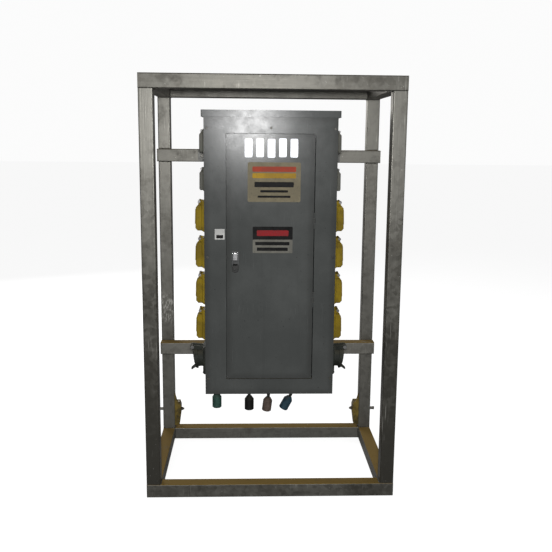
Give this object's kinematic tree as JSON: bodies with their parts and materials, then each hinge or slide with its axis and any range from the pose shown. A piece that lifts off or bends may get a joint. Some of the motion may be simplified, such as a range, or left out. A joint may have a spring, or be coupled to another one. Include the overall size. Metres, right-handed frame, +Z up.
{
  "type": "portable power distribution box",
  "caption": "Portable power distribution box: a panelboard with a breaker door, side outlets under flip lids and cam leads below, hung in a welded square-tube cage.",
  "frame": {"origin": "middle of the cage's footprint, on the floor", "axes": "+Z up, front and door towards -Y, +X to the right seen from the front"},
  "size_m": [0.9564, 0.6096, 1.524],
  "materials": {
    "galvanised_steel": "dull hot-dip galvanising, mottled",
    "dull_plated_steel": "dusty zinc plate",
    "zinc_bolts": "zinc plate",
    "grey_paint": "satin enamel, scuffed",
    "cast_grey_paint": "satin enamel on a casting",
    "aluminium_bar": "plain",
    "brass": "turned",
    "chrome": "bright",
    "black_plastic": "moulded",
    "grey_moulding": "moulded",
    "yellow_plastic": "moulded, dusty",
    "black_rubber": "moulded",
    "green_rubber": "moulded",
    "brown_rubber": "moulded, faded",
    "blue_rubber": "moulded"
  },
  "bodies": {
    "frame": {"frame_posts": "galvanised_steel", "frame_cross_rails": "galvanised_steel", "frame_side_rails": "galvanised_steel", "mount_rails": "galvanised_steel", "tube_end_plugs": "black_plastic", "mounting_ears": "galvanised_steel", "strap_hooks": "dull_plated_steel", "frame_bolts": "zinc_bolts", "enclosure_box": "grey_paint", "rain_hood": "grey_paint", "cover_trim": "grey_paint", "cover_screws": "zinc_bolts", "hinge_pins": "zinc_bolts", "dead_front": "grey_paint", "interior_base": "grey_moulding", "bus_bars": "aluminium_bar", "breaker_cases": "black_plastic", "duplex_frames": "cast_grey_paint", "duplex_outlets": "grey_moulding", "locking_frames": "yellow_plastic", "locking_outlets": "black_plastic", "large_frames": "black_rubber", "large_hoods": "black_rubber", "large_outlets": "black_plastic", "cam_glands": "black_plastic", "cam_tails": "black_rubber", "cam_contacts": "brass"},
    "door": {"door_panel": "grey_paint", "latch_housing": "grey_moulding"},
    "latch_handle": {"latch_handle": "chrome"},
    "latch_tongue": {"latch_tongue": "zinc_bolts"},
    "breaker_toggle_left_1": {"breaker_toggle_left_1": "black_plastic"},
    "breaker_toggle_left_2": {"breaker_toggle_left_2": "black_plastic"},
    "breaker_toggle_left_3": {"breaker_toggle_left_3": "black_plastic"},
    "breaker_toggle_left_4": {"breaker_toggle_left_4": "black_plastic"},
    "breaker_toggle_left_5": {"breaker_toggle_left_5": "black_plastic"},
    "breaker_toggle_right_1": {"breaker_toggle_right_1": "black_plastic"},
    "breaker_toggle_right_2": {"breaker_toggle_right_2": "black_plastic"},
    "breaker_toggle_right_3": {"breaker_toggle_right_3": "black_plastic"},
    "breaker_toggle_right_4": {"breaker_toggle_right_4": "black_plastic"},
    "breaker_toggle_right_5": {"breaker_toggle_right_5": "black_plastic"},
    "main_breaker_toggle": {"main_breaker_toggle": "black_plastic"},
    "duplex_lid_left_1": {"duplex_lid_left_1": "cast_grey_paint"},
    "duplex_lid_right_1": {"duplex_lid_right_1": "cast_grey_paint"},
    "duplex_lid_left_2": {"duplex_lid_left_2": "cast_grey_paint"},
    "duplex_lid_right_2": {"duplex_lid_right_2": "cast_grey_paint"},
    "locking_lid_left_1": {"locking_lid_left_1": "yellow_plastic"},
    "locking_lid_right_1": {"locking_lid_right_1": "yellow_plastic"},
    "locking_lid_left_2": {"locking_lid_left_2": "yellow_plastic"},
    "locking_lid_right_2": {"locking_lid_right_2": "yellow_plastic"},
    "locking_lid_left_3": {"locking_lid_left_3": "yellow_plastic"},
    "locking_lid_right_3": {"locking_lid_right_3": "yellow_plastic"},
    "locking_lid_left_4": {"locking_lid_left_4": "yellow_plastic"},
    "locking_lid_right_4": {"locking_lid_right_4": "yellow_plastic"},
    "large_lid_left_1": {"large_lid_left_1": "black_rubber"},
    "large_lid_right_1": {"large_lid_right_1": "black_rubber"},
    "cam_boot_green": {"cam_boot_green": "green_rubber"},
    "cam_boot_black": {"cam_boot_black": "black_rubber"},
    "cam_boot_brown": {"cam_boot_brown": "brown_rubber"},
    "cam_boot_blue": {"cam_boot_blue": "blue_rubber"}
  },
  "joints": [
    {"name": "door_swing", "type": "hinge", "parent": "frame", "child": "door", "pos_m": [0.1695, -0.0285, 0.848], "axis": [0, 0, 1], "range_deg": [0, 115]},
    {"name": "latch_lift", "type": "hinge", "parent": "door", "child": "latch_handle", "pos_m": [-0.135, -0.027, 0.871], "axis": [-1, 0, 0], "range_deg": [0, 35], "stiffness_Nm_per_rad": 0.05, "springref_deg": -11.46},
    {"name": "latch_draw", "type": "slide", "parent": "door", "child": "latch_tongue", "axis": [1, 0, 0], "range_m": [0, 0.0101]},
    {"name": "breaker_left_1_switch", "type": "hinge", "parent": "frame", "child": "breaker_toggle_left_1", "pos_m": [-0.045, 0.01, 1.0173], "axis": [0, 0, -1], "range_deg": [0, 35]},
    {"name": "breaker_left_2_switch", "type": "hinge", "parent": "frame", "child": "breaker_toggle_left_2", "pos_m": [-0.045, 0.01, 0.9919], "axis": [0, 0, -1], "range_deg": [0, 35]},
    {"name": "breaker_left_3_switch", "type": "hinge", "parent": "frame", "child": "breaker_toggle_left_3", "pos_m": [-0.045, 0.01, 0.9665], "axis": [0, 0, -1], "range_deg": [0, 35]},
    {"name": "breaker_left_4_switch", "type": "hinge", "parent": "frame", "child": "breaker_toggle_left_4", "pos_m": [-0.045, 0.01, 0.9411], "axis": [0, 0, -1], "range_deg": [0, 35]},
    {"name": "breaker_left_5_switch", "type": "hinge", "parent": "frame", "child": "breaker_toggle_left_5", "pos_m": [-0.045, 0.01, 0.903], "axis": [0, 0, -1], "range_deg": [0, 35]},
    {"name": "breaker_right_1_switch", "type": "hinge", "parent": "frame", "child": "breaker_toggle_right_1", "pos_m": [0.045, 0.01, 1.0173], "axis": [0, 0, 1], "range_deg": [0, 35]},
    {"name": "breaker_right_2_switch", "type": "hinge", "parent": "frame", "child": "breaker_toggle_right_2", "pos_m": [0.045, 0.01, 0.9919], "axis": [0, 0, 1], "range_deg": [0, 35]},
    {"name": "breaker_right_3_switch", "type": "hinge", "parent": "frame", "child": "breaker_toggle_right_3", "pos_m": [0.045, 0.01, 0.9665], "axis": [0, 0, 1], "range_deg": [0, 35]},
    {"name": "breaker_right_4_switch", "type": "hinge", "parent": "frame", "child": "breaker_toggle_right_4", "pos_m": [0.045, 0.01, 0.9411], "axis": [0, 0, 1], "range_deg": [0, 35]},
    {"name": "breaker_right_5_switch", "type": "hinge", "parent": "frame", "child": "breaker_toggle_right_5", "pos_m": [0.045, 0.01, 0.903], "axis": [0, 0, 1], "range_deg": [0, 35]},
    {"name": "main_breaker_switch", "type": "hinge", "parent": "frame", "child": "main_breaker_toggle", "pos_m": [0, 0.01, 1.185], "axis": [1, 0, 0], "range_deg": [0, 40]},
    {"name": "duplex_lid_left_1_flip", "type": "hinge", "parent": "frame", "child": "duplex_lid_left_1", "pos_m": [-0.267, 0.085, 1.339], "axis": [0, 1, 0], "range_deg": [0, 130], "stiffness_Nm_per_rad": 0.02, "springref_deg": -28.65},
    {"name": "duplex_lid_right_1_flip", "type": "hinge", "parent": "frame", "child": "duplex_lid_right_1", "pos_m": [0.267, 0.085, 1.339], "axis": [0, -1, 0], "range_deg": [0, 130], "stiffness_Nm_per_rad": 0.02, "springref_deg": -28.65},
    {"name": "duplex_lid_left_2_flip", "type": "hinge", "parent": "frame", "child": "duplex_lid_left_2", "pos_m": [-0.267, 0.085, 1.193], "axis": [0, 1, 0], "range_deg": [0, 130], "stiffness_Nm_per_rad": 0.02, "springref_deg": -28.65},
    {"name": "duplex_lid_right_2_flip", "type": "hinge", "parent": "frame", "child": "duplex_lid_right_2", "pos_m": [0.267, 0.085, 1.193], "axis": [0, -1, 0], "range_deg": [0, 130], "stiffness_Nm_per_rad": 0.02, "springref_deg": -28.65},
    {"name": "locking_lid_left_1_flip", "type": "hinge", "parent": "frame", "child": "locking_lid_left_1", "pos_m": [-0.278, 0.085, 1.065], "axis": [0, 1, 0], "range_deg": [0, 115], "stiffness_Nm_per_rad": 0.02, "springref_deg": -28.65},
    {"name": "locking_lid_right_1_flip", "type": "hinge", "parent": "frame", "child": "locking_lid_right_1", "pos_m": [0.278, 0.085, 1.065], "axis": [0, -1, 0], "range_deg": [0, 115], "stiffness_Nm_per_rad": 0.02, "springref_deg": -28.65},
    {"name": "locking_lid_left_2_flip", "type": "hinge", "parent": "frame", "child": "locking_lid_left_2", "pos_m": [-0.278, 0.085, 0.919], "axis": [0, 1, 0], "range_deg": [0, 115], "stiffness_Nm_per_rad": 0.02, "springref_deg": -28.65},
    {"name": "locking_lid_right_2_flip", "type": "hinge", "parent": "frame", "child": "locking_lid_right_2", "pos_m": [0.278, 0.085, 0.919], "axis": [0, -1, 0], "range_deg": [0, 115], "stiffness_Nm_per_rad": 0.02, "springref_deg": -28.65},
    {"name": "locking_lid_left_3_flip", "type": "hinge", "parent": "frame", "child": "locking_lid_left_3", "pos_m": [-0.278, 0.085, 0.773], "axis": [0, 1, 0], "range_deg": [0, 115], "stiffness_Nm_per_rad": 0.02, "springref_deg": -28.65},
    {"name": "locking_lid_right_3_flip", "type": "hinge", "parent": "frame", "child": "locking_lid_right_3", "pos_m": [0.278, 0.085, 0.773], "axis": [0, -1, 0], "range_deg": [0, 115], "stiffness_Nm_per_rad": 0.02, "springref_deg": -28.65},
    {"name": "locking_lid_left_4_flip", "type": "hinge", "parent": "frame", "child": "locking_lid_left_4", "pos_m": [-0.278, 0.085, 0.627], "axis": [0, 1, 0], "range_deg": [0, 115], "stiffness_Nm_per_rad": 0.02, "springref_deg": -28.65},
    {"name": "locking_lid_right_4_flip", "type": "hinge", "parent": "frame", "child": "locking_lid_right_4", "pos_m": [0.278, 0.085, 0.627], "axis": [0, -1, 0], "range_deg": [0, 115], "stiffness_Nm_per_rad": 0.02, "springref_deg": -28.65},
    {"name": "large_lid_left_1_flip", "type": "hinge", "parent": "frame", "child": "large_lid_left_1", "pos_m": [-0.312, 0.085, 0.472], "axis": [0, 1, 0], "range_deg": [0, 110], "stiffness_Nm_per_rad": 0.02, "springref_deg": -28.65},
    {"name": "large_lid_right_1_flip", "type": "hinge", "parent": "frame", "child": "large_lid_right_1", "pos_m": [0.312, 0.085, 0.472], "axis": [0, -1, 0], "range_deg": [0, 110], "stiffness_Nm_per_rad": 0.02, "springref_deg": -28.65},
    {"name": "cam_boot_green_pull", "type": "slide", "parent": "frame", "child": "cam_boot_green", "axis": [0, 0, -1], "range_m": [0, 0.052]},
    {"name": "cam_boot_black_pull", "type": "slide", "parent": "frame", "child": "cam_boot_black", "axis": [0, 0, -1], "range_m": [0, 0.052]},
    {"name": "cam_boot_brown_pull", "type": "slide", "parent": "frame", "child": "cam_boot_brown", "axis": [-0.1219, 0, -0.9925], "range_m": [0, 0.052]},
    {"name": "cam_boot_blue_pull", "type": "slide", "parent": "frame", "child": "cam_boot_blue", "axis": [-0.4695, 0, -0.8829], "range_m": [0, 0.052]}
  ],
  "couplings": [
    {"joint": "latch_draw", "follows": "latch_lift", "m_per_rad": 0.01637}
  ]
}
